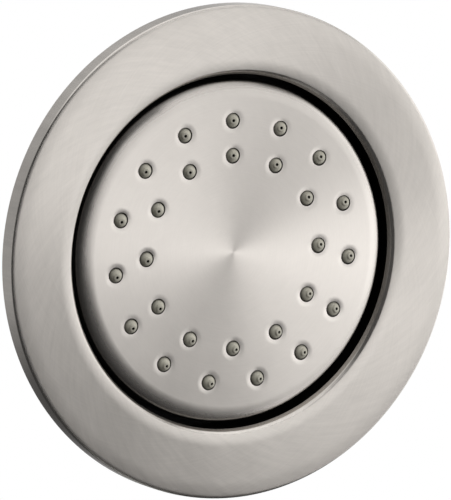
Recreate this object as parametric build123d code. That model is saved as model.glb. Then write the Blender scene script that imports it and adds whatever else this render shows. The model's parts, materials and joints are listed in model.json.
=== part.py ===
"""Shower body jet: a round spray head on a ball swivel, set flush in a wall trim.

Millimetres. Each piece is turned about the jet's own axis, with heights measured out of
the finished wall, and is then laid into the shared frame: wall plane at y = 0, front
towards -y, up towards +z.
"""
import os
from math import asin, cos, degrees, radians, sin, sqrt, tan

from build123d import *

# Fits between pieces
RUN_GAP = 0.05
SLIP_GAP = 0.1
LOOSE_GAP = 0.3

# Spray face, a drawn cup with the nozzle holes
FACE_R = 43.2
FACE_H = 4.6
FACE_SHEET = 1.2
FACE_EDGE = 4.3
FACE_SKIRT_END = -8.2
FACE_CRIMP = 2.2

# Trim ring, a drawn channel around the face, whose front falls gently to both edges
TRIM_GAP = 1.4
TRIM_WIDTH = 17.4
TRIM_H = 5.6
TRIM_SHEET = 1.5
TRIM_EDGE = 1.0
TRIM_FALL_R = 32.0
TRIM_FALL_DEG = 6.3
TRIM_LIP_EDGE = 0.5
TRIM_LIP_FALL_R = 16.0
TRIM_LIP_FALL_DEG = 10.8
TRIM_LIP_SLOPE_DEG = 57.0
TRIM_LIP_DEPTH = 2.1

# Nozzles, on two circles set in from the face's rim, with one always at the top
OUTER_NOZZLES = 15
OUTER_INSET = 10.2
INNER_NOZZLES = 12
INNER_INSET = 18.95
HOLE_R = 2.0
HOLE_DISH = 1.3
HOLE_DISH_DEPTH = 0.15
LEAN_AROUND_DEG = 10.0
LEAN_OUT_DEG = 5.0
NUB_GAP = 0.14
NUB_TAPER = 0.06
NUB_BULGE = 0.2
NUB_TIP_R = 0.8
NUB_PROUD = 1.0
NUB_ROUND = 0.45
ORIFICE_R = 0.38
ORIFICE_LENGTH = 1.0
FEED_R = 1.1

# Layers behind the face
MAT_SHEET = 1.2
PLATE_SHEET = 1.6
CHAMBER_DEPTH = 3.4
CHAMBER_LAND = 1.2
SHELL_WALL = 2.0
SHELL_RIB = 1.6
SHELL_RIBS = 8
CHAMBER_SEAL_D = 1.8
CHAMBER_SEAL_INSET = 3.8

# Ball swivel
PIVOT_H = -14.2
BALL_R = 10.0
BALL_FLAT = 7.4
NECK_R = 6.6
WATERWAY_R = 4.5
SEAT_SHEET = 1.5
FRONT_SEAT_DEG = 66.0
REAR_SEAT_DEG = 56.0
SEAT_END_DEG = 84.0
BALL_SEAL_D = 2.4
BALL_SEAL_DEG = 58.0
SEAL_LIP = 0.9
SEAL_LIP_SHEET = 1.35
FUNNEL = 3.9
SOCKET_OVERRUN = 0.2
BOSS_WALL = 2.9
COLLAR_WALL = 2.9
COLLAR_MOUTH_DEG = 54.0
COLLAR_LIP = 0.6
COLLAR_CHAMFER = 1.2
COLLAR_NOTCHES = 6
COLLAR_NOTCH_R = 2.2
COLLAR_NOTCH_DEPTH = 1.4

# Housing can in the wall, with its floors measured back from the pivot
CAN_GAP = 0.7
CAN_WALL = 2.0
CAN_FLOOR_BEHIND = 5.0
CAN_RIBS = 6
WELL_SWING = 2.5
WELL_WRENCH_GAP = 1.5
WELL_FLOOR_BEHIND = 16.5
WELL_FLOOR = 2.5
FLANGE_GAP = 0.5
FLANGE_RIM = 3.4
FLANGE_SHEET = 2.2
TRIM_SEAL_D = 2.4

# Inlet end of the ball stem, built up around the bore of a half-inch pipe thread
SOCKET_R = 9.2
SOCKET_LENGTH = 14.0
STEM_WALL = 1.8
STEM_SHOULDER_BEHIND = 10.6
STEM_SEAL = 1.5
STEM_SEAL_WIDTH = 4.5
LOCKNUT_WALL = 5.0
LOCKNUT_H = 4.2
HEX_WALL = 2.5
HEX_LENGTH = 9.5
INLET_COLLAR_WALL = 3.8
INLET_COLLAR_LENGTH = 7.0
WASHER_LEDGE = 0.6
WASHER_WIDTH = 2.0
WASHER_H = 2.0
REGULATOR_LEDGE = 1.0
REGULATOR_H = 4.4
REGULATOR_WEB = 1.4
REGULATOR_PORTS = 6
REGULATOR_PORT_R = 0.5
REGULATOR_SEAL_D = 2.0
REGULATOR_SEAL_R = 4.4
SCREEN_SHEET = 0.6
SCREEN_HOLES = 5
SCREEN_BAR = 0.9

# What follows from the face: its layers, from the front back
face_back = FACE_H - FACE_SHEET
mat_back = face_back - MAT_SHEET
plate_back = mat_back - PLATE_SHEET
chamber_floor = plate_back - CHAMBER_DEPTH
shell_back = chamber_floor - SHELL_WALL
skirt_seat = FACE_SKIRT_END + FACE_SHEET
cup_inner_r = FACE_R - FACE_SHEET
cup_edge = (FACE_R - FACE_EDGE, FACE_H - FACE_EDGE)
cup_round = FACE_EDGE - FACE_SHEET
chamber_seal_r = cup_inner_r - CHAMBER_SEAL_INSET
chamber_groove = CHAMBER_SEAL_D + 2 * SLIP_GAP
chamber_r = chamber_seal_r - chamber_groove / 2 - CHAMBER_LAND
nub_root_r = HOLE_R - NUB_GAP
nub_shoulder_r = nub_root_r - NUB_TAPER

# The trim around the face, and the can's flange inside the trim
trim_opening_r = FACE_R + TRIM_GAP
trim_r = trim_opening_r + TRIM_WIDTH
trim_lip_end = TRIM_H - TRIM_LIP_DEPTH
trim_back = TRIM_H - TRIM_SHEET
trim_lip_slope = radians(TRIM_LIP_SLOPE_DEG)
trim_lip_end_r = trim_opening_r + TRIM_SHEET / sin(trim_lip_slope)
trim_lip_r = trim_lip_end_r + (trim_back - trim_lip_end) / tan(trim_lip_slope)
trim_inner_r = trim_r - TRIM_SHEET
flange_r = trim_inner_r - FLANGE_GAP
can_r = trim_lip_r + CAN_GAP

# The ball's seats, seal and socket
seat_inner_r = BALL_R + RUN_GAP
seat_outer_r = seat_inner_r + SEAT_SHEET
socket_ball_r = seat_outer_r + RUN_GAP
ball_seal_from_pivot = BALL_R + RUN_GAP + BALL_SEAL_D / 2
ball_seal_r = ball_seal_from_pivot * sin(radians(BALL_SEAL_DEG))
ball_seal_h = PIVOT_H + ball_seal_from_pivot * cos(radians(BALL_SEAL_DEG))
boss_r = socket_ball_r + BOSS_WALL
boss_end = PIVOT_H - SOCKET_OVERRUN
collar_r = boss_r + SLIP_GAP + COLLAR_WALL

# The stem, its nut and the well around them
stem_r = SOCKET_R + STEM_WALL
stem_shoulder_h = PIVOT_H - STEM_SHOULDER_BEHIND
stem_seal_r = stem_r + STEM_SEAL_WIDTH
hex_across = 2 * (stem_r + HEX_WALL)
locknut_across = 2 * (stem_r + LOCKNUT_WALL)
locknut_corner = locknut_across / 2 / cos(radians(30))
can_floor_h = PIVOT_H - CAN_FLOOR_BEHIND
well_r = max(collar_r + WELL_SWING, locknut_corner + WELL_WRENCH_GAP)
well_floor_h = PIVOT_H - WELL_FLOOR_BEHIND
well_back = well_floor_h - WELL_FLOOR
hex_front = well_back - STEM_SEAL
inlet_end = hex_front - HEX_LENGTH - INLET_COLLAR_LENGTH
inlet_collar_r = SOCKET_R + INLET_COLLAR_WALL
socket_floor = inlet_end + SOCKET_LENGTH
washer_r = SOCKET_R - WASHER_LEDGE
washer_bore_r = washer_r - WASHER_WIDTH
washer_floor = socket_floor + WASHER_H
screen_pitch = 2 * washer_bore_r / (SCREEN_HOLES + 0.5)
regulator_r = washer_r - REGULATOR_LEDGE
regulator_floor = washer_floor + REGULATOR_H
regulator_trough = regulator_floor - REGULATOR_WEB


def turned(*outline):
    """Turn a closed outline about the axis; a pair of points in it is an arc's middle and end."""
    here = outline[0]
    edges = []
    for step in outline[1:] + outline[:1]:
        if isinstance(step[0], tuple):
            edges.append(ThreePointArc(here, step[0], step[1]))
            here = step[1]
        else:
            edges.append(Line(here, step))
            here = step
    return revolve(Plane.XZ * make_face(edges), Axis.Z)


def on_arc(centre, radius, turn):
    """The point of a circle in the outline plane, with the angle taken from straight ahead."""
    return (centre[0] + radius * sin(radians(turn)), centre[1] + radius * cos(radians(turn)))


def on_ball(radius, turn):
    """The point of a sphere about the swivel's pivot, with the angle taken from straight ahead."""
    return on_arc((0.0, PIVOT_H), radius, turn)


def washer(inner_r, outer_r, low, high):
    """A plain flat ring."""
    return turned((inner_r, low), (outer_r, low), (outer_r, high), (inner_r, high))


def o_ring(radius, thickness, height):
    """A round-section ring on the axis."""
    return Pos(0, 0, height) * Torus(radius, thickness / 2)


def hexagon(across, low, high):
    """A hexagonal bar standing on the axis."""
    return Pos(0, 0, low) * extrude(RegularPolygon(across / 2, 6, major_radius=False), high - low)


def inside_cup(height):
    """The free radius within the face's cup at a height in its rounded edge."""
    return cup_edge[0] + sqrt(cup_round**2 - (height - cup_edge[1])**2) - 2 * SLIP_GAP


def nozzle_frames():
    """A frame for every nozzle: on the face's back, z out of the face, x away from the axis."""
    frames = []
    for inset, count in ((OUTER_INSET, OUTER_NOZZLES), (INNER_INSET, INNER_NOZZLES)):
        for index in range(count):
            turn = 90.0 + index * 360.0 / count
            frames.append(Rot(0, 0, turn) * Pos(FACE_R - inset, 0, face_back))
    return frames


def trim_edge(side_r, way, fall_r, fall_deg, round_r):
    """Centres of the front's gentle fall and of the edge round that takes it down to a side wall."""
    reach = round_r + (fall_r - round_r) * sin(radians(fall_deg))
    fall = (side_r - way * reach, TRIM_H - fall_r)
    return fall, on_arc(fall, fall_r - round_r, way * fall_deg)


def trim_ring():
    fall, edge = trim_edge(trim_r, 1, TRIM_FALL_R, TRIM_FALL_DEG, TRIM_EDGE)
    lip_drop = (TRIM_LIP_FALL_R - TRIM_LIP_EDGE) * (1 - cos(radians(TRIM_LIP_FALL_DEG)))
    lip_slope_h = TRIM_LIP_DEPTH - lip_drop - TRIM_LIP_EDGE * (1 - cos(trim_lip_slope))
    lip_slope_r = lip_slope_h / tan(trim_lip_slope)
    lip_wall_r = trim_opening_r + lip_slope_r - TRIM_LIP_EDGE * (1 - sin(trim_lip_slope))
    lip_fall, lip_edge = trim_edge(lip_wall_r, -1, TRIM_LIP_FALL_R, TRIM_LIP_FALL_DEG, TRIM_LIP_EDGE)
    lip_front = on_arc(lip_fall, TRIM_LIP_FALL_R, -TRIM_LIP_FALL_DEG)
    lip_bend = on_arc(lip_edge, TRIM_LIP_EDGE, -(TRIM_LIP_SLOPE_DEG + TRIM_LIP_FALL_DEG) / 2)
    return turned(
        (trim_inner_r, 0.0),
        (trim_r, 0.0),
        (trim_r, edge[1]),
        (on_arc(edge, TRIM_EDGE, (90 + TRIM_FALL_DEG) / 2), on_arc(edge, TRIM_EDGE, TRIM_FALL_DEG)),
        (on_arc(fall, TRIM_FALL_R, TRIM_FALL_DEG / 2), (fall[0], TRIM_H)),
        (lip_fall[0], TRIM_H),
        (on_arc(lip_fall, TRIM_LIP_FALL_R, -TRIM_LIP_FALL_DEG / 2), lip_front),
        (lip_bend, on_arc(lip_edge, TRIM_LIP_EDGE, -TRIM_LIP_SLOPE_DEG)),
        (trim_opening_r, trim_lip_end),
        (trim_lip_end_r, trim_lip_end),
        (trim_lip_r, trim_back),
        (trim_inner_r, trim_back),
    )


def housing_can():
    """The moulded can in the wall: a channel flange, a wide drum and a narrow well behind it."""
    outer = can_r + CAN_WALL
    rim = flange_r - FLANGE_RIM
    channel = trim_back - FLANGE_SHEET
    groove_r = trim_inner_r - TRIM_SEAL_D
    groove_low = trim_back / 2 - TRIM_SEAL_D / 2 - SLIP_GAP
    groove_high = trim_back / 2 + TRIM_SEAL_D / 2 + SLIP_GAP
    floor_back = can_floor_h - CAN_WALL
    well_outer = well_r + CAN_WALL
    can = turned(
        (can_r, trim_back),
        (can_r, can_floor_h),
        (well_r, can_floor_h),
        (well_r, well_floor_h),
        (stem_r + SLIP_GAP, well_floor_h),
        (stem_r + SLIP_GAP, well_back),
        (well_outer, well_back),
        (well_outer, floor_back),
        (outer, floor_back),
        (outer, channel),
        (rim, channel),
        (rim, 0.0),
        (flange_r, 0.0),
        (flange_r, groove_low),
        (groove_r, groove_low),
        (groove_r, groove_high),
        (flange_r, groove_high),
        (flange_r, trim_back),
    )
    rib_plan = Polyline(
        (well_r + CAN_WALL / 2, floor_back + CAN_WALL / 2),
        (well_r + CAN_WALL / 2, well_back + CAN_WALL),
        (outer - CAN_WALL, floor_back),
        (outer - CAN_WALL, floor_back + CAN_WALL / 2),
        close=True,
    )
    rib = extrude(Plane.XZ * make_face(rib_plan), CAN_WALL / 2, both=True)
    ribs = [Rot(0, 0, index * 360.0 / CAN_RIBS) * rib for index in range(CAN_RIBS)]
    return can + ribs


def wall_gasket():
    """The foam ring that fills the flange's channel."""
    inner = can_r + CAN_WALL + LOOSE_GAP
    return washer(inner, flange_r - FLANGE_RIM - LOOSE_GAP, 0.0, trim_back - FLANGE_SHEET)


def trim_o_ring():
    """The ring that grips the trim from inside its outer wall."""
    return o_ring(trim_inner_r - TRIM_SEAL_D / 2, TRIM_SEAL_D, trim_back / 2)


def swivel_ball():
    """Ball, neck, threaded stem and inlet end in one turned brass piece."""
    flat_r = sqrt(BALL_R**2 - BALL_FLAT**2)
    neck_h = PIVOT_H - sqrt(BALL_R**2 - NECK_R**2)
    stem = turned(
        (WATERWAY_R, PIVOT_H + BALL_FLAT),
        (flat_r, PIVOT_H + BALL_FLAT),
        ((BALL_R, PIVOT_H), (NECK_R, neck_h)),
        (NECK_R, stem_shoulder_h),
        (stem_r, stem_shoulder_h),
        (stem_r, hex_front - HEX_LENGTH),
        (inlet_collar_r, hex_front - HEX_LENGTH),
        (inlet_collar_r, inlet_end),
        (SOCKET_R, inlet_end),
        (SOCKET_R, socket_floor),
        (washer_r, socket_floor),
        (washer_r, washer_floor),
        (regulator_r, washer_floor),
        (regulator_r, regulator_floor),
        (WATERWAY_R, regulator_floor),
    )
    sleeve = hexagon(hex_across, hex_front - HEX_LENGTH, hex_front)
    core = Pos(0, 0, hex_front - HEX_LENGTH) * Cylinder(
        stem_r, HEX_LENGTH, align=(Align.CENTER, Align.CENTER, Align.MIN)
    )
    return stem + (sleeve - core)


def stem_locknut():
    low = well_floor_h
    high = low + LOCKNUT_H
    crown = (locknut_corner - locknut_across / 2) / 2
    blank = turned(
        (stem_r + SLIP_GAP, low),
        (locknut_corner, low),
        (locknut_corner, high - crown),
        (locknut_across / 2, high),
        (stem_r + SLIP_GAP, high),
    )
    return blank & hexagon(locknut_across, low, high)


def stem_seal():
    return washer(stem_r + LOOSE_GAP, stem_seal_r, hex_front, well_back)


def flow_regulator():
    """The insert that meters the water past a flexing ring."""
    outer = regulator_r - SLIP_GAP
    post_r = REGULATOR_SEAL_R - REGULATOR_SEAL_D / 2 - RUN_GAP
    trough_r = REGULATOR_SEAL_R + REGULATOR_SEAL_D / 2 + LOOSE_GAP
    body = turned(
        (0.0, washer_floor),
        (post_r, washer_floor),
        (post_r, regulator_trough),
        (trough_r, regulator_trough),
        (trough_r, washer_floor),
        (outer, washer_floor),
        (outer, regulator_floor),
        (0.0, regulator_floor),
    )
    port_at = (post_r + WATERWAY_R) / 2
    port = Pos(port_at, 0, regulator_floor) * Cylinder(REGULATOR_PORT_R, 3 * REGULATOR_WEB)
    ports = [Rot(0, 0, index * 360.0 / REGULATOR_PORTS) * port for index in range(REGULATOR_PORTS)]
    return body - ports


def regulator_o_ring():
    return o_ring(REGULATOR_SEAL_R, REGULATOR_SEAL_D, regulator_trough - REGULATOR_SEAL_D / 2)


def inlet_washer():
    return washer(washer_bore_r, washer_r - RUN_GAP, socket_floor, washer_floor)


def inlet_screen():
    """Square mesh held in the washer, lying on the regulator."""
    disc = Pos(0, 0, washer_floor - SCREEN_SHEET) * Cylinder(
        washer_bore_r - RUN_GAP, SCREEN_SHEET, align=(Align.CENTER, Align.CENTER, Align.MIN)
    )
    hole = Box(screen_pitch - SCREEN_BAR, screen_pitch - SCREEN_BAR, 4 * SCREEN_SHEET)
    reach = washer_bore_r - screen_pitch / 2
    holes = []
    steps = SCREEN_HOLES // 2
    for column in range(-steps, steps + 1):
        for row in range(-steps, steps + 1):
            x, y = column * screen_pitch, row * screen_pitch
            if sqrt(x**2 + y**2) < reach:
                holes.append(Pos(x, y, washer_floor) * hole)
    return disc - holes


def seat_ring(start, end):
    """A ball seat: the shell between two spheres, cut by cones at the two angles."""
    middle = (start + end) / 2
    return turned(
        on_ball(seat_inner_r, start),
        (on_ball(seat_inner_r, middle), on_ball(seat_inner_r, end)),
        on_ball(seat_outer_r, end),
        (on_ball(seat_outer_r, middle), on_ball(seat_outer_r, start)),
    )


def front_seat_ring():
    return seat_ring(FRONT_SEAT_DEG, SEAT_END_DEG)


def rear_seat_ring():
    return seat_ring(180 - SEAT_END_DEG, 180 - REAR_SEAT_DEG)


def ball_seal():
    return o_ring(ball_seal_r, BALL_SEAL_D, ball_seal_h)


def head_shell():
    """The moulded back of the head, with the front half of the ball socket."""
    outer = cup_inner_r - SLIP_GAP
    groove_floor = plate_back - CHAMBER_SEAL_D
    seal_outer = ball_seal_r + BALL_SEAL_D / 2 + SLIP_GAP
    seal_front = ball_seal_h + BALL_SEAL_D / 2 + SLIP_GAP
    mouth_r = ball_seal_r - SEAL_LIP
    mouth_h = seal_front + SEAL_LIP_SHEET
    seat_h = PIVOT_H + sqrt(socket_ball_r**2 - seal_outer**2)
    seat_from = degrees(asin(seal_outer / socket_ball_r))
    seat_middle = on_ball(socket_ball_r, (seat_from + 90) / 2)
    shell = turned(
        (mouth_r + FUNNEL, chamber_floor),
        (chamber_r, chamber_floor),
        (chamber_r, plate_back),
        (chamber_seal_r - chamber_groove / 2, plate_back),
        (chamber_seal_r - chamber_groove / 2, groove_floor),
        (chamber_seal_r + chamber_groove / 2, groove_floor),
        (chamber_seal_r + chamber_groove / 2, plate_back),
        (inside_cup(plate_back), plate_back),
        (outer, cup_edge[1]),
        (outer, skirt_seat),
        (outer - SHELL_WALL, skirt_seat),
        (outer - SHELL_WALL, shell_back),
        (boss_r, shell_back),
        (boss_r, boss_end),
        (socket_ball_r, boss_end),
        (socket_ball_r, PIVOT_H),
        (seat_middle, (seal_outer, seat_h)),
        (seal_outer, seal_front),
        (mouth_r, seal_front),
        (mouth_r, mouth_h),
    )
    rib_plan = Polyline(
        (collar_r + SHELL_WALL, shell_back + SHELL_WALL / 2),
        (outer - SHELL_WALL / 2, shell_back + SHELL_WALL / 2),
        (outer - SHELL_WALL / 2, skirt_seat),
        (collar_r + SHELL_WALL, skirt_seat),
        close=True,
    )
    rib = extrude(Plane.XZ * make_face(rib_plan), SHELL_RIB / 2, both=True)
    return shell + [Rot(0, 0, index * 360.0 / SHELL_RIBS) * rib for index in range(SHELL_RIBS)]


def swivel_collar():
    """The nut that closes the socket behind the ball."""
    front = shell_back - COLLAR_LIP
    mouth = on_ball(socket_ball_r, 180 - COLLAR_MOUTH_DEG)
    back = mouth[1] - COLLAR_LIP
    seat_drop = SOCKET_OVERRUN + SLIP_GAP
    seat_from = 90 + degrees(asin(seat_drop / socket_ball_r))
    seat_start = on_ball(socket_ball_r, seat_from)
    seat_middle = on_ball(socket_ball_r, (seat_from + 180 - COLLAR_MOUTH_DEG) / 2)
    collar = turned(
        (boss_r + SLIP_GAP, front),
        (collar_r, front),
        (collar_r, back + COLLAR_CHAMFER),
        (collar_r - COLLAR_CHAMFER, back),
        (mouth[0], back),
        mouth,
        (seat_middle, seat_start),
        (boss_r + SLIP_GAP, seat_start[1]),
    )
    notch_at = collar_r + COLLAR_NOTCH_R - COLLAR_NOTCH_DEPTH
    notch = Pos(notch_at, 0, (front + back) / 2) * Cylinder(COLLAR_NOTCH_R, 2 * (front - back))
    return collar - [Rot(0, 0, index * 360.0 / COLLAR_NOTCHES) * notch for index in range(COLLAR_NOTCHES)]


def chamber_seal():
    return o_ring(chamber_seal_r, CHAMBER_SEAL_D, plate_back - CHAMBER_SEAL_D / 2)


def backing_plate():
    """The rigid plate behind the mat, with one feed hole to a nozzle."""
    plate = washer(0.0, inside_cup(mat_back), plate_back, mat_back)
    feed = Cylinder(FEED_R + LOOSE_GAP, 6 * PLATE_SHEET)
    return plate - [frame * feed for frame in nozzle_frames()]


def nozzle_mat():
    """One soft sheet with the leaning nubs that stand through the face."""
    sheet = washer(0.0, cup_edge[0] - LOOSE_GAP, mat_back, face_back)
    lean = Rot(-LEAN_AROUND_DEG, LEAN_OUT_DEG, 0)
    length = (FACE_SHEET + NUB_PROUD) / cos(radians(LEAN_AROUND_DEG))
    shoulder = (nub_shoulder_r, FACE_SHEET / 2)
    brow = (NUB_TIP_R + NUB_ROUND / 2, length - NUB_ROUND)
    belly = ((shoulder[0] + brow[0]) / 2 + NUB_BULGE, (shoulder[1] + brow[1]) / 2)
    nub = turned(
        (0.0, -MAT_SHEET / 2),
        (nub_root_r, -MAT_SHEET / 2),
        (nub_root_r, 0.0),
        shoulder,
        (belly, brow),
        (NUB_TIP_R, length),
        (0.0, length),
    )
    bore = turned(
        (0.0, -2 * MAT_SHEET),
        (FEED_R, -2 * MAT_SHEET),
        (FEED_R, -MAT_SHEET / 2),
        (ORIFICE_R, length - ORIFICE_LENGTH),
        (ORIFICE_R, 2 * length),
        (0.0, 2 * length),
    )
    leaning = [frame * lean for frame in nozzle_frames()]
    return sheet + [place * nub for place in leaning] - [place * bore for place in leaning]


def spray_face():
    """The drawn cup: front with dished holes, round edge, skirt, and a lip turned in behind the shell."""
    turn = (cup_inner_r, skirt_seat)
    cup = turned(
        (0.0, face_back),
        (cup_edge[0], face_back),
        (on_arc(cup_edge, cup_round, 45), (cup_inner_r, cup_edge[1])),
        (cup_inner_r, skirt_seat),
        (cup_inner_r - FACE_CRIMP, skirt_seat),
        (cup_inner_r - FACE_CRIMP, FACE_SKIRT_END),
        (cup_inner_r, FACE_SKIRT_END),
        (on_arc(turn, FACE_SHEET, 135), (FACE_R, skirt_seat)),
        (FACE_R, cup_edge[1]),
        (on_arc(cup_edge, FACE_EDGE, 45), (cup_edge[0], FACE_H)),
        (0.0, FACE_H),
    )
    dish_r = HOLE_R + HOLE_DISH
    dish_bend = (HOLE_DISH**2 + HOLE_DISH_DEPTH**2) / (2 * HOLE_DISH_DEPTH)
    dish_turn = degrees(asin(HOLE_DISH / dish_bend))
    dish_middle = on_arc((dish_r, FACE_SHEET - dish_bend), dish_bend, -dish_turn / 2)
    punch = turned(
        (0.0, -FACE_SHEET),
        (HOLE_R, -FACE_SHEET),
        (HOLE_R, FACE_SHEET - HOLE_DISH_DEPTH),
        (dish_middle, (dish_r, FACE_SHEET)),
        (dish_r, 2 * FACE_SHEET),
        (0.0, 2 * FACE_SHEET),
    )
    return cup - [frame * punch for frame in nozzle_frames()]


PIECES = (
    trim_ring,
    trim_o_ring,
    wall_gasket,
    housing_can,
    swivel_ball,
    stem_locknut,
    stem_seal,
    flow_regulator,
    regulator_o_ring,
    inlet_washer,
    inlet_screen,
    rear_seat_ring,
    front_seat_ring,
    ball_seal,
    swivel_collar,
    head_shell,
    chamber_seal,
    backing_plate,
    nozzle_mat,
    spray_face,
)

os.makedirs("parts", exist_ok=True)
for piece in PIECES:
    export_step(Rot(90, 0, 0) * piece(), f"parts/{piece.__name__}.step")
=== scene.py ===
"""Looks for the shower body jet: brushed nickel trim and spray face, soft nozzles, a pale studio.

Metres in the shared frame: wall plane at y = 0, front towards -y, up towards +z. The trim ring,
the spray face and the nozzle mat are drawn again as smooth meshes of the same form; their sizes
are in millimetres, as heights out of the wall and radii about the jet's axis.
"""

import json
import math

import bpy
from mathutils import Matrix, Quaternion, Vector
from mathutils.geometry import delaunay_2d_cdt


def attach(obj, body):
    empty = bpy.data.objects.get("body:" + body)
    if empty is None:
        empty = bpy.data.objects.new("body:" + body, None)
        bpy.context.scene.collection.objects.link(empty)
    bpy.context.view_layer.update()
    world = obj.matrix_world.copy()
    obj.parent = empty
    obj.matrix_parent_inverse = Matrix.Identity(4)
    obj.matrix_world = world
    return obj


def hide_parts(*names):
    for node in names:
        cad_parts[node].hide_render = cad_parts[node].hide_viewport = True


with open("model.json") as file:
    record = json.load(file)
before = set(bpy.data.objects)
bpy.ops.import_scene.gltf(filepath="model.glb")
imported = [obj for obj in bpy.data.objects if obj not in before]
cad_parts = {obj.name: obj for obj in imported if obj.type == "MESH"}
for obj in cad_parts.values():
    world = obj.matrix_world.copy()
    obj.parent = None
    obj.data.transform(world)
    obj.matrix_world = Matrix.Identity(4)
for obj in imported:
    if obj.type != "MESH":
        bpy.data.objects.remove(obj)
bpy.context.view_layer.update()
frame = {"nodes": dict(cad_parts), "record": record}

MM = 0.001
BLACK = (0.0, 0.0, 0.0)

# How finely round forms are drawn
TURN_STEPS = 256
HOLE_STEPS = 48
NUB_STEPS = 40
MAT_STEPS = 96
TRIM_EDGE_STEPS = 12
TRIM_FALL_STEPS = 8
TRIM_LIP_STEPS = 10
FACE_EDGE_STEPS = 20
FACE_INSIDE_STEPS = 10
FACE_ROLL_STEPS = 8
DISH_STEPS = 8
NUB_SIDE_STEPS = 8
NUB_BROW_STEPS = 4

# Turns in degrees from which a fold is drawn as a crease
TRIM_CREASE = 40
FACE_CREASE = 50
MAT_CREASE = 40

# Spray face
FACE_R = 43.2
FACE_H = 4.6
FACE_SHEET = 1.2
FACE_EDGE = 4.3
FACE_SKIRT_END = -8.2
FACE_CRIMP = 2.2

# Trim ring, whose front falls gently to both edges
TRIM_OPENING_R = 44.6
TRIM_R = 62.0
TRIM_H = 5.6
TRIM_SHEET = 1.5
TRIM_EDGE = 1.0
TRIM_FALL_R = 32.0
TRIM_FALL_DEG = 6.3
TRIM_LIP_EDGE = 0.5
TRIM_LIP_FALL_R = 16.0
TRIM_LIP_FALL_DEG = 10.8
TRIM_LIP_SLOPE_DEG = 57.0
TRIM_LIP_DEPTH = 2.1

# Nozzles: radius of a circle, and how many stand on it
NOZZLE_CIRCLES = ((33.0, 15), (24.25, 12))
HOLE_R = 2.0
HOLE_DISH = 1.3
HOLE_DISH_DEPTH = 0.15
LEAN_AROUND = math.radians(10)
LEAN_OUT = math.radians(5)
MAT_SHEET = 1.2
MAT_EDGE_GAP = 0.3
NUB_ROOT_R = 1.86
NUB_SHOULDER_R = 1.8
NUB_BULGE = (0.2, 0.0)
NUB_TIP_R = 0.8
NUB_ROUND = 0.45
NUB_BROW_BULGE = (0.06, 0.04)
NUB_PROUD = 1.0
ORIFICE_R = 0.38
ORIFICE_LENGTH = 1.0

# Brushed finish: noise over radius and angle in metres, where a small span draws it out around the axis
STROKE_SCALE = 2400.0
STROKE_SPAN = 0.0012
STROKE_MIDDLE_R = 0.05
STROKE_BUMP = 0.006
SCUFF_SCALE = 700.0
SCUFF_SPAN = 0.009
SCUFF_SLANT = 0.03
BRUSHED_NOISE_ROUGH = 0.7
CLOUD_SCALE = 70.0
CLOUD_SHARE = 0.7
WEAR_RANGE = (0.35, 0.65)
BRUSHED_SPREAD = 0.015
AROUND = 0.25

# Edges, by how far a surface faces the front: -1 straight ahead, 0 on a side wall
EDGE_FACING = (-0.95, -0.6)
EDGE_POLISH = 0.7
EASE_SPAN = 0.13
STEEP_FACING = (-0.5, -0.1)

# Heights between which shading changes, the higher one first, and how dark painted shade makes the metal
# there
LIP_TURN = (4.6, 4.3)
HOLE_WALL = (FACE_H - HOLE_DISH_DEPTH, FACE_H - 3 * HOLE_DISH_DEPTH)
HOLE_PAINTED_SHADE = 0.6
GAP_WALL = (3.7, 2.2)
GAP_PAINTED_SHADE = 0.75

# Soft nozzles: heights between which painted shade darkens them down into the holes, and the shares of their
# colour that painted shade leaves at the root and in the bores
NUB_SHADE = (FACE_H + NUB_PROUD / 2, FACE_H - NUB_PROUD / 3)
NUB_ROOT_UNSHADED = 0.4
BORE_UNSHADED = 0.05
RUBBER_GRAIN = 700.0
RUBBER_GRAIN_RANGE = (0.2, 0.8)
RUBBER_GRAIN_CLEAN = 0.8
RUBBER_BUMP = 0.1

# Plain materials: range of their noise, how far it changes roughness, and relief in metres
GRAIN_RANGE = (0.3, 0.7)
GRAIN_SPREAD = 0.06
GRAIN_DETAIL = 4.0
TURNED_SCALE = 3000.0
TURNED_DETAIL = 2.0
TURNED_BUMP = 0.08
TARNISH_SCALE = 150.0
TARNISH_SHARE = 0.5
FINE_RELIEF = 0.0001
COARSE_RELIEF = 0.0002

# Studio, with lamps as place, width, height, roll in degrees and brightness
FLOOR_R = 0.25
FLOOR_Z = -1.0
FLOOR_STEPS = 96
SURROUND_LEVEL = 0.05
BACKDROP_DEG = (25, 12)
LAMPS = (
    ("right_box", (0.327, -0.38, -0.099), 0.2, 0.13, 13, 1.2),
    ("front_box", (0.262, -0.402, 0.083), 0.81, 0.376, 0, 0.95),
    ("top_box", (0.18, -0.2, 0.275), 0.432, 0.083, 0, 1.1),
    ("low_box", (0.309, -0.129, -0.181), 0.308, 0.248, 0, 0.72),
    ("fill_box", (0.27, -0.27, -0.24), 0.25, 0.2, 0, 0.185),
)

# Camera, at the photograph's angle
CAMERA_AZIMUTH = math.radians(-28.28)
CAMERA_ELEVATION = math.radians(8.63)
CAMERA_DISTANCE = 2.0
CAMERA_LENS = 577.8
CAMERA_SLIDE = (0.00026, -0.00002)
CAMERA_CLIP = 0.1

face_back = FACE_H - FACE_SHEET
camera_back = Vector(
    (
        math.sin(CAMERA_AZIMUTH) * math.cos(CAMERA_ELEVATION),
        -math.cos(CAMERA_AZIMUTH) * math.cos(CAMERA_ELEVATION),
        math.sin(CAMERA_ELEVATION),
    )
)


def arc(centre, radius, start, end, steps):
    """Points of an arc in the outline plane, with angles in degrees from straight ahead."""
    points = []
    for i in range(steps + 1):
        turn = math.radians(start + (end - start) * i / steps)
        points.append((centre[0] + radius * math.sin(turn), centre[1] + radius * math.cos(turn)))
    return points


def bowed(start, end, bulge, steps):
    """Points strictly between two outline points, bowed outwards in radius or height."""
    points = []
    for i in range(1, steps):
        t = i / steps
        lift = 4 * t * (1 - t)
        points.append(
            (
                start[0] + (end[0] - start[0]) * t + bulge[0] * lift,
                start[1] + (end[1] - start[1]) * t + bulge[1] * lift,
            )
        )
    return points


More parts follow.
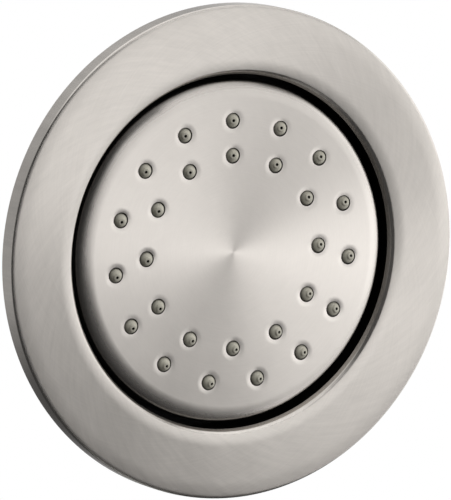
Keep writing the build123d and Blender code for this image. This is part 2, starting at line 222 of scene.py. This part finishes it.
def placed(across, up, out):
    """A point given in millimetres across, up and out of the wall, in the shared frame."""
    return (across * MM, -out * MM, up * MM)


def nozzles():
    """Angle and circle radius of every nozzle, with one of each circle at the top."""
    for radius, count in NOZZLE_CIRCLES:
        for i in range(count):
            yield math.radians(90) + 2 * math.pi * i / count, radius


class Pile:
    """Vertices and faces of one mesh that is built up from turned and flat pieces."""

    def __init__(self):
        self.verts = []
        self.faces = []

    def turn(self, outline, steps, point, closed=False):
        """Turn an outline of (radius, height) with point(radius, height, angle) placing it."""
        base, count = len(self.verts), len(outline)
        for i in range(steps):
            angle = 2 * math.pi * i / steps
            self.verts.extend(point(r, h, angle) for r, h in outline)
        for i in range(steps):
            here, there = base + i * count, base + (i + 1) % steps * count
            for j in range(count if closed else count - 1):
                k = (j + 1) % count
                self.faces.append((there + j, there + k, here + k, here + j))

    def sheet(self, rim, holes, height, front):
        """A flat sheet inside a rim circle, open at the hole circles: (across, up, radius, steps)."""
        points, edges = [], []
        for across, up, radius, steps in [rim, *holes]:
            first = len(points)
            for i in range(steps):
                angle = 2 * math.pi * i / steps
                points.append(Vector((across + radius * math.cos(angle), up + radius * math.sin(angle))))
                edges.append((first + i, first + (i + 1) % steps))
        inside_only, weld = 1, 1e-6
        flat, _, panels, *_ = delaunay_2d_cdt(points, edges, [], inside_only, weld)
        base = len(self.verts)
        self.verts.extend(placed(p.x, p.y, height) for p in flat)
        for panel in panels:
            middle = sum((flat[i] for i in panel), Vector((0, 0))) / len(panel)
            if any((middle - Vector(hole[:2])).length < hole[2] for hole in holes):
                continue
            order = panel if front else reversed(panel)
            self.faces.append(tuple(base + i for i in order))

    def finish(self, name, crease):
        """A smooth-shaded object with creases where the surface turns by more than an angle."""
        mesh = bpy.data.meshes.new(name)
        mesh.from_pydata(self.verts, [], self.faces)
        mesh.validate()
        mesh.shade_smooth()
        mesh.set_sharp_from_angle(angle=math.radians(crease))
        made = bpy.data.objects.new(name, mesh)
        bpy.context.scene.collection.objects.link(made)
        return made


def about_axis(r, h, angle):
    """An outline point, turned about the jet's own axis."""
    return placed(r * math.cos(angle), r * math.sin(angle), h)


def trim_edge(side_r, way, fall_r, fall_deg, round_r):
    """Centres of the front's gentle fall and of the edge round that takes it down to a side wall."""
    turn = math.radians(fall_deg)
    reach = round_r + (fall_r - round_r) * math.sin(turn)
    fall = (side_r - way * reach, TRIM_H - fall_r)
    edge = (side_r - way * round_r, fall[1] + (fall_r - round_r) * math.cos(turn))
    return fall, edge


def make_trim():
    """The trim ring: a channel with a gently domed front and a coned lip around the opening."""
    fall, edge = trim_edge(TRIM_R, 1, TRIM_FALL_R, TRIM_FALL_DEG, TRIM_EDGE)
    slope = math.radians(TRIM_LIP_SLOPE_DEG)
    drop = (TRIM_LIP_FALL_R - TRIM_LIP_EDGE) * (1 - math.cos(math.radians(TRIM_LIP_FALL_DEG)))
    slope_r = (TRIM_LIP_DEPTH - drop - TRIM_LIP_EDGE * (1 - math.cos(slope))) / math.tan(slope)
    wall_r = TRIM_OPENING_R + slope_r - TRIM_LIP_EDGE * (1 - math.sin(slope))
    lip_fall, lip_edge = trim_edge(wall_r, -1, TRIM_LIP_FALL_R, TRIM_LIP_FALL_DEG, TRIM_LIP_EDGE)
    back = TRIM_H - TRIM_SHEET
    lip_end = TRIM_H - TRIM_LIP_DEPTH
    lip_end_r = TRIM_OPENING_R + TRIM_SHEET / math.sin(slope)
    outline = [(TRIM_R - TRIM_SHEET, 0.0), (TRIM_R, 0.0)]
    outline += arc(edge, TRIM_EDGE, 90, TRIM_FALL_DEG, TRIM_EDGE_STEPS)
    outline += arc(fall, TRIM_FALL_R, TRIM_FALL_DEG, 0, TRIM_FALL_STEPS)[1:]
    outline += arc(lip_fall, TRIM_LIP_FALL_R, 0, -TRIM_LIP_FALL_DEG, TRIM_FALL_STEPS)
    outline += arc(lip_edge, TRIM_LIP_EDGE, -TRIM_LIP_FALL_DEG, -TRIM_LIP_SLOPE_DEG, TRIM_LIP_STEPS)[1:]
    outline += [
        (TRIM_OPENING_R, lip_end),
        (lip_end_r, lip_end),
        (lip_end_r + (back - lip_end) / math.tan(slope), back),
        (TRIM_R - TRIM_SHEET, back),
    ]
    pile = Pile()
    pile.turn(outline, TURN_STEPS, about_axis, closed=True)
    return pile.finish("trim", TRIM_CREASE)


def make_face():
    """The spray face: a sheet cup with a crimped skirt, and a dished hole to a nozzle."""
    edge = (FACE_R - FACE_EDGE, FACE_H - FACE_EDGE)
    seat = FACE_SKIRT_END + FACE_SHEET
    inside = FACE_R - FACE_SHEET
    rolled_in = arc((inside, seat), FACE_SHEET, 180, 90, FACE_ROLL_STEPS)
    outline = arc(edge, FACE_EDGE - FACE_SHEET, 0, 90, FACE_INSIDE_STEPS)
    outline += [(inside, seat), (inside - FACE_CRIMP, seat), (inside - FACE_CRIMP, FACE_SKIRT_END)]
    outline += rolled_in + arc(edge, FACE_EDGE, 90, 0, FACE_EDGE_STEPS)
    pile = Pile()
    pile.turn(outline, TURN_STEPS, about_axis)
    rim = (0.0, 0.0, edge[0], TURN_STEPS)
    centres = [(radius * math.cos(turn), radius * math.sin(turn)) for turn, radius in nozzles()]
    pile.sheet(rim, [(*c, HOLE_R + HOLE_DISH, HOLE_STEPS) for c in centres], FACE_H, True)
    pile.sheet(rim, [(*c, HOLE_R, HOLE_STEPS) for c in centres], face_back, False)
    bend = (HOLE_DISH**2 + HOLE_DISH_DEPTH**2) / (2 * HOLE_DISH_DEPTH)
    dished = -math.degrees(math.asin(HOLE_DISH / bend))
    dish = [(HOLE_R, face_back)]
    dish += arc((HOLE_R + HOLE_DISH, FACE_H - bend), bend, dished, 0, DISH_STEPS)
    for across, up in centres:
        pile.turn(
            dish,
            HOLE_STEPS,
            lambda r, h, turn: placed(across + r * math.cos(turn), up + r * math.sin(turn), h),
        )
    return pile.finish("spray_cup", FACE_CREASE)


def make_mat():
    """The soft mat: its sheet behind the face, and one leaning nub to a nozzle, with its bore marked for
    painted shade.
    """
    rim_r = FACE_R - FACE_EDGE - MAT_EDGE_GAP
    back = face_back - MAT_SHEET
    pile = Pile()
    pile.turn([(0.0, back), (rim_r, back), (rim_r, face_back), (0.0, face_back)], MAT_STEPS, about_axis)
    sheet_end = len(pile.verts)
    length = (FACE_SHEET + NUB_PROUD) / math.cos(LEAN_AROUND)
    shoulder = (NUB_SHOULDER_R, FACE_SHEET / 2)
    brow = (NUB_TIP_R + NUB_ROUND / 2, length - NUB_ROUND)
    tip = (NUB_TIP_R, length)
    floor = length - ORIFICE_LENGTH
    bore_floor = [(ORIFICE_R, floor), (0.0, floor)]
    nub = [(NUB_ROOT_R, -MAT_SHEET / 2), (NUB_ROOT_R, 0.0), shoulder]
    nub += bowed(shoulder, brow, NUB_BULGE, NUB_SIDE_STEPS)
    nub += [brow]
    nub += bowed(brow, tip, NUB_BROW_BULGE, NUB_BROW_STEPS)
    nub += [tip, (ORIFICE_R, length)] + bore_floor
    for turn, radius in nozzles():
        out = Vector((math.cos(turn), math.sin(turn), 0.0))
        around = Vector((-math.sin(turn), math.cos(turn), 0.0))
        ahead = Vector((0.0, 0.0, 1.0))
        lean = (ahead + around * math.tan(LEAN_AROUND) + out * math.tan(LEAN_OUT)).normalized()
        side = (out - lean * out.dot(lean)).normalized()
        other = lean.cross(side)
        foot = out * radius + ahead * face_back
        pile.turn(
            nub,
            NUB_STEPS,
            lambda r, h, a: placed(*(foot + (side * math.cos(a) + other * math.sin(a)) * r + lean * h)),
        )
    made = pile.finish("soft_mat", MAT_CREASE)
    # Bore floors are marked so the silicone can paint shade into them
    bores = [0.0] * len(pile.verts)
    for i in range(sheet_end, len(bores)):
        bores[i] = float((i - sheet_end) % len(nub) >= len(nub) - len(bore_floor))
    made.data.attributes.new("bore", "FLOAT", "POINT").data.foreach_set("value", bores)
    return made


class Graph:
    """Short forms for wiring a node tree; a plain number goes straight onto its socket."""

    def __init__(self, tree):
        self.tree = tree

    def node(self, kind, inputs=None, **settings):
        made = self.tree.nodes.new("ShaderNode" + kind)
        for key, value in settings.items():
            setattr(made, key, value)
        for key, value in (inputs or {}).items():
            self.put(made.inputs[key], value)
        return made

    def put(self, socket, value):
        if isinstance(value, bpy.types.NodeSocket):
            self.tree.links.new(value, socket)
        else:
            socket.default_value = value

    def math(self, operation, a, b=0.0):
        return self.node("Math", {0: a, 1: b}, operation=operation).outputs[0]

    def times(self, a, b):
        return self.math("MULTIPLY", a, b)

    def weighted(self, a, b, share):
        """A blend of two values, with the second one's share."""
        return self.node("Mix", {0: share, 2: a, 3: b}, data_type="FLOAT").outputs[0]

    def tint(self, share, low, high):
        """A blend of two colours, with the second one's share."""
        return self.node("Mix", {0: share, 6: (*low, 1.0), 7: (*high, 1.0)}, data_type="RGBA").outputs[2]

    def ramp(self, value, low, high, to_low=0.0, to_high=1.0, kind="LINEAR"):
        """A value carried over from one range to another, and held at its ends."""
        ends = {"Value": value, "From Min": low, "From Max": high, "To Min": to_low, "To Max": to_high}
        return self.node("MapRange", ends, interpolation_type=kind).outputs["Result"]

    def vector(self, x, y, z):
        return self.node("CombineXYZ", {0: x, 1: y, 2: z}).outputs[0]

    def split(self, vector):
        return self.node("SeparateXYZ", {0: vector}).outputs

    def noise(self, vector, scale, detail=3.0, rough=0.6):
        settings = {"Vector": vector, "Scale": scale, "Detail": detail, "Roughness": rough}
        return self.node("TexNoise", settings).outputs["Fac"]


class Shader(Graph):
    """One material around a Principled BSDF, with the part's own coordinates."""

    def __init__(self, name):
        self.material = bpy.data.materials.new(name)
        self.material.use_nodes = True
        super().__init__(self.material.node_tree)
        coordinates = self.node("TexCoord").outputs
        self.place = coordinates["Object"]
        self.normal = coordinates["Normal"]

    def surface(self, **inputs):
        bsdf = self.tree.nodes["Principled BSDF"]
        for key, value in inputs.items():
            self.put(bsdf.inputs[key.replace("_", " ").title()], value)

    def polar(self):
        """Distance from the jet's axis, and angle about it."""
        x, _, z = self.split(self.place)
        squares = self.math("ADD", self.times(x, x), self.times(z, z))
        return self.math("SQRT", squares), self.math("ARCTAN2", z, x)

    def facing(self):
        """How far the surface faces the front: -1 straight ahead, 0 on a side wall."""
        return self.split(self.normal)[1]

    def by_height(self, heights, at_first, at_last):
        """A value that changes between two heights out of the wall, the higher one first."""
        depth = self.split(self.place)[1]
        first, last = heights
        return self.ramp(depth, -first * MM, -last * MM, at_first, at_last)

    def eased(self, ease, under, start):
        """The normal of a polished edge, drawn towards the front.

        The pull begins where the surface turns past a start and ends on steep walls. It is ease in
        front, and another amount under the turn of the trim's lip.
        """
        facing = self.facing()
        begun = self.ramp(facing, start, start + EASE_SPAN)
        open_edge = self.ramp(facing, *STEEP_FACING, 1.0, 0.0)
        amount = self.by_height(LIP_TURN, -ease, -under)
        pull = self.times(begun, self.times(amount, open_edge))
        drawn = self.node("VectorMath", {0: self.normal, 1: self.vector(0.0, pull, 0.0)}, operation="ADD")
        spaces = {"vector_type": "NORMAL", "convert_from": "OBJECT", "convert_to": "WORLD"}
        return self.node("VectorTransform", {0: drawn.outputs[0]}, **spaces).outputs[0]

    def bump(self, height, strength, distance, normal=None):
        made = self.node("Bump", {"Height": height, "Strength": strength, "Distance": distance})
        if normal:
            self.put(made.inputs["Normal"], normal)
        return made.outputs[0]


def brushed_nickel(name, colour, worn, rough, anisotropy, slant, scuff, ease, under, start):
    """Nickel brushed around the axis, with strokes slanted by a share of a turn.

    The dullest spots keep a worn share of the colour, and scuff is the scuffs' share against clouds.
    Painted shade darkens the walls of the nozzle holes and the face where it sits low in the gap around it.
    """
    s = Shader(name)
    radius, angle = s.polar()
    swept = s.math("ADD", radius, s.times(angle, STROKE_MIDDLE_R * math.tan(2 * math.pi * slant)))
    stroke_place = s.vector(swept, s.times(angle, STROKE_SPAN), 0.0)
    strokes = s.noise(stroke_place, STROKE_SCALE, GRAIN_DETAIL, BRUSHED_NOISE_ROUGH)
    across = s.math("SUBTRACT", radius, s.times(angle, SCUFF_SLANT))
    scuff_place = s.vector(across, s.times(angle, SCUFF_SPAN), 0.0)
    scuffs = s.noise(scuff_place, SCUFF_SCALE, rough=BRUSHED_NOISE_ROUGH)
    clouds = s.weighted(s.noise(s.place, CLOUD_SCALE), scuffs, scuff)
    wear = s.ramp(s.weighted(strokes, clouds, CLOUD_SHARE), *WEAR_RANGE)
    polish = s.ramp(s.facing(), *EDGE_FACING, 1.0, EDGE_POLISH)
    over_sheet = s.math("LESS_THAN", radius, (FACE_R - FACE_EDGE) * MM)
    over_face = s.math("LESS_THAN", radius, TRIM_OPENING_R * MM)
    # Painted shade on the walls of the nozzle holes and on the face low down in the gap around it
    hole_shade = s.times(over_sheet, s.by_height(HOLE_WALL, 0.0, HOLE_PAINTED_SHADE))
    gap_shade = s.times(over_face, s.by_height(GAP_WALL, 0.0, GAP_PAINTED_SHADE))
    painted_shade = s.math("MINIMUM", s.math("ADD", hole_shade, gap_shade), GAP_PAINTED_SHADE)
    # The colour's share: wear of the strokes, less the painted shade
    wear_and_shade = s.math("SUBTRACT", s.ramp(wear, 0.0, 1.0, worn, 1.0), painted_shade)
    s.surface(
        base_color=s.tint(wear_and_shade, BLACK, colour),
        metallic=1.0,
        roughness=s.times(polish, s.ramp(wear, 0.0, 1.0, rough - BRUSHED_SPREAD, rough + BRUSHED_SPREAD)),
        anisotropic=anisotropy,
        anisotropic_rotation=AROUND + slant,
        tangent=s.node("Tangent", direction_type="RADIAL", axis="Y").outputs[0],
        normal=s.bump(strokes, STROKE_BUMP, FINE_RELIEF, s.eased(ease, under, start)),
    )
    return s.material


def soft_rubber(name, colour, rough):
    """Silicone with painted shade down into the holes of the spray face, and in its own bores."""
    s = Shader(name)
    grains = s.noise(s.place, RUBBER_GRAIN, GRAIN_DETAIL)
    bore = s.node("Attribute", attribute_name="bore").outputs["Fac"]
    # Painted shade: darker down into the holes of the face, where shade falls around the nub
    hole_shade = s.by_height(NUB_SHADE, 1.0, NUB_ROOT_UNSHADED)
    # Painted shade in the bores, near black at their floors
    unshaded = s.times(hole_shade, s.ramp(bore, 0.0, 0.5, 1.0, BORE_UNSHADED))
    mottled = s.ramp(grains, *RUBBER_GRAIN_RANGE, RUBBER_GRAIN_CLEAN, 1.0)
    s.surface(
        base_color=s.tint(s.times(unshaded, mottled), BLACK, colour),
        roughness=s.ramp(grains, *GRAIN_RANGE, rough - GRAIN_SPREAD, rough + GRAIN_SPREAD),
        normal=s.bump(grains, RUBBER_BUMP, COARSE_RELIEF),
    )
    return s.material


def moulded(name, low, high, rough, grain, relief):
    """Plastic, rubber or foam with a fine grain."""
    s = Shader(name)
    grains = s.noise(s.place, grain, GRAIN_DETAIL)
    s.surface(
        base_color=s.tint(grains, low, high),
        roughness=s.ramp(grains, *GRAIN_RANGE, rough - GRAIN_SPREAD, rough + GRAIN_SPREAD),
        normal=s.bump(grains, relief, COARSE_RELIEF),
    )
    return s.material


def bare_metal(name, low, high, rough):
    """Turned or drawn metal with fine lines around the axis."""
    s = Shader(name)
    along = s.split(s.place)[1]
    lines = s.noise(s.vector(0.0, along, 0.0), TURNED_SCALE, TURNED_DETAIL)
    wear = s.weighted(lines, s.noise(s.place, TARNISH_SCALE), TARNISH_SHARE)
    s.surface(
        base_color=s.tint(wear, low, high),
        metallic=1.0,
        roughness=s.ramp(wear, *GRAIN_RANGE, rough - GRAIN_SPREAD, rough + GRAIN_SPREAD),
        normal=s.bump(lines, TURNED_BUMP, FINE_RELIEF),
    )
    return s.material


def dress(obj, material):
    obj.data.materials.clear()
    obj.data.materials.append(material)


def draw_smooth():
    """The three pieces in view, drawn smooth in place of their solids."""
    trim_nickel = brushed_nickel(
        "trim_nickel",
        (0.70, 0.661, 0.618),
        worn=0.835,
        rough=0.31,
        anisotropy=0.96,
        slant=0.057,
        scuff=0.6,
        ease=0.45,
        under=-0.2,
        start=-0.98,
    )
    face_nickel = brushed_nickel(
        "face_nickel",
        (0.71, 0.67, 0.628),
        worn=0.9,
        rough=0.29,
        anisotropy=0.87,
        slant=0.0,
        scuff=0.2,
        ease=0.8,
        under=0.8,
        start=-1.0 - EASE_SPAN,
    )
    silicone = soft_rubber("nozzle_silicone", (0.73, 0.70, 0.585), 0.45)
    for obj, body, node, slot, material in (
        (make_trim(), "wall_unit", "trim_ring", "brushed_nickel", trim_nickel),
        (make_face(), "spray_head", "spray_face", "brushed_nickel", face_nickel),
        (make_mat(), "spray_head", "nozzle_mat", "nozzle_rubber", silicone),
    ):
        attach(obj, body)
        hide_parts(node)
        dress(obj, material)


def dress_solids():
    """Materials for the other nodes, by slot."""
    black, coal = (0.022, 0.02, 0.017), (0.034, 0.031, 0.027)
    looks = {
        "black_plastic": moulded("black_moulding", black, coal, 0.5, 400.0, 0.15),
        "grey_plastic": moulded("grey_moulding", (0.26, 0.26, 0.25), (0.34, 0.34, 0.33), 0.5, 400.0, 0.15),
        "seal_rubber": moulded("black_seal", (0.014, 0.014, 0.014), (0.03, 0.03, 0.03), 0.6, 900.0, 0.15),
        "gasket_foam": moulded("dark_foam", (0.03, 0.03, 0.032), (0.09, 0.09, 0.092), 0.9, 1500.0, 0.6),
        "white_acetal": moulded("white_acetal", (0.70, 0.69, 0.65), (0.78, 0.77, 0.73), 0.4, 400.0, 0.1),
        "brass": bare_metal("turned_brass", (0.60, 0.42, 0.17), (0.78, 0.60, 0.30), 0.3),
        "screen_steel": bare_metal("wire_steel", (0.42, 0.42, 0.42), (0.62, 0.62, 0.61), 0.38),
    }
    for part in frame["record"]["subparts"]:
        if part["material_slot"] in looks:
            obj = frame["nodes"][part["node"]]
            dress(obj, looks[part["material_slot"]])


def make_floor():
    """A small pale disc far below the part, out of its reflections."""
    place = (0.0, 0.0, FLOOR_Z)
    bpy.ops.mesh.primitive_circle_add(vertices=FLOOR_STEPS, radius=FLOOR_R, fill_type="NGON", location=place)
    floor = bpy.context.object
    floor.name = "floor"
    s = Shader("pale_floor")
    s.surface(base_color=(0.7, 0.7, 0.7, 1.0), roughness=0.8)
    floor.data.materials.append(s.material)


def make_surround():
    """A studio: pale walls right, above and behind, a faint one on the left, white behind the part."""
    world = bpy.data.worlds.new("studio")
    bpy.context.scene.world = world
    world.use_nodes = True
    g = Graph(world.node_tree)
    way = g.node("TexCoord").outputs["Generated"]
    x, y, z = g.split(way)
    rear_bright = g.ramp(z, -0.55, -0.25, 0.0, 0.39)
    # Each wall's axis, where its light begins and is full along it, and its brightness
    walls = (
        (x, 0.73, 1.0, 1.05),
        (y, -0.2, 0.05, rear_bright),
        (x, -0.93, -1.0, 0.25),
        (z, 0.55, 0.9, 0.95),
    )
    level = SURROUND_LEVEL
    for along, start, end, bright in walls:
        level = g.math("ADD", level, g.ramp(along, start, end, 0.0, bright, "SMOOTHSTEP"))
    ahead = g.node("VectorMath", {0: way, 1: -camera_back}, operation="DOT_PRODUCT").outputs["Value"]
    rim, middle = (math.cos(math.radians(angle)) for angle in BACKDROP_DEG)
    behind = g.ramp(ahead, rim, middle, kind="SMOOTHSTEP")
    path = g.node("LightPath").outputs
    mirrored = g.math("MAXIMUM", path["Is Glossy Ray"], path["Is Transmission Ray"])
    white = g.math("MAXIMUM", path["Is Camera Ray"], g.times(mirrored, behind))
    background = world.node_tree.nodes["Background"].inputs
    g.put(background["Color"], (1.0, 1.0, 1.0, 1.0))
    g.put(background["Strength"], g.weighted(level, 1.0, white))


def make_lamps():
    """Soft boxes that face the part."""
    for name, place, width, height, roll, bright in LAMPS:
        lamp = bpy.data.lights.new(name, "AREA")
        lamp.shape = "RECTANGLE"
        lamp.size = width
        lamp.size_y = height
        lamp.energy = bright * math.pi * width * height
        obj = bpy.data.objects.new(name, lamp)
        obj.location = place
        turn = (-Vector(place)).to_track_quat("-Z", "Y") @ Quaternion((0, 0, 1), math.radians(roll))
        obj.rotation_euler = turn.to_euler()
        obj.visible_camera = False
        bpy.context.scene.collection.objects.link(obj)


def make_camera():
    """A long lens, left of the jet's axis and a little above it."""
    data = bpy.data.cameras.new("camera")
    data.lens = CAMERA_LENS
    data.clip_start = CAMERA_CLIP
    obj = bpy.data.objects.new("camera", data)
    turn = (-camera_back).to_track_quat("-Z", "Y")
    obj.rotation_euler = turn.to_euler()
    obj.location = camera_back * CAMERA_DISTANCE + turn @ Vector((*CAMERA_SLIDE, 0.0))
    bpy.context.scene.collection.objects.link(obj)
    bpy.context.scene.camera = obj


draw_smooth()
dress_solids()
make_floor()
make_surround()
make_lamps()
make_camera()
bpy.context.scene.view_settings.view_transform = "Standard"
